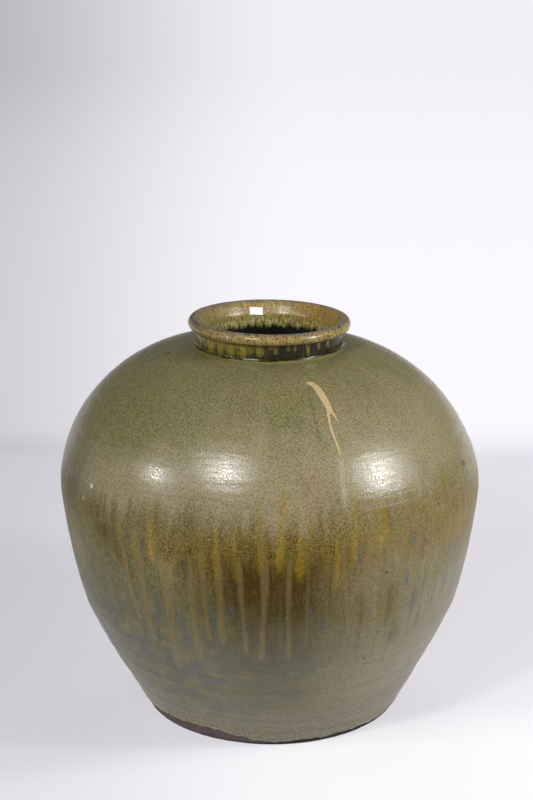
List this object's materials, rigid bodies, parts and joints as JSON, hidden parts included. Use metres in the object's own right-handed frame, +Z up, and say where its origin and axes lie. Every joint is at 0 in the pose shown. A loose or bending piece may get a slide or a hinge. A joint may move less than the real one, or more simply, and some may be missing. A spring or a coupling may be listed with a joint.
{
  "type": "glazed stoneware storage jar",
  "caption": "Wide-shouldered martaban storage jar with a short collar, a rolled rim, a narrow flat foot and a running olive ash glaze.",
  "frame": {"origin": "centre of the flat face that the jar stands on", "axes": "+Z up along the jar's axis, out of the mouth; -Y is the side with the longest glaze runs"},
  "size_m": [0.6499, 0.65, 0.6176],
  "materials": {
    "bare_clay": "unglazed, purple-brown fired clay",
    "olive_glaze": "satin olive ash glaze with amber runs and fine speckle",
    "inner_glaze": "glossy dark glaze with an amber lip",
    "label_paper": "matt white paper"
  },
  "bodies": {
    "root": {"base_disc": "bare_clay", "foot_wall": "bare_clay", "lower_wall": "bare_clay", "belly_wall": "bare_clay", "shoulder_wall": "bare_clay", "neck_collar": "bare_clay", "neck_luting_coil": "bare_clay", "rolled_rim": "bare_clay", "outer_glaze": "olive_glaze", "inner_glaze": "inner_glaze", "paper_label": "label_paper"}
  },
  "joints": []
}
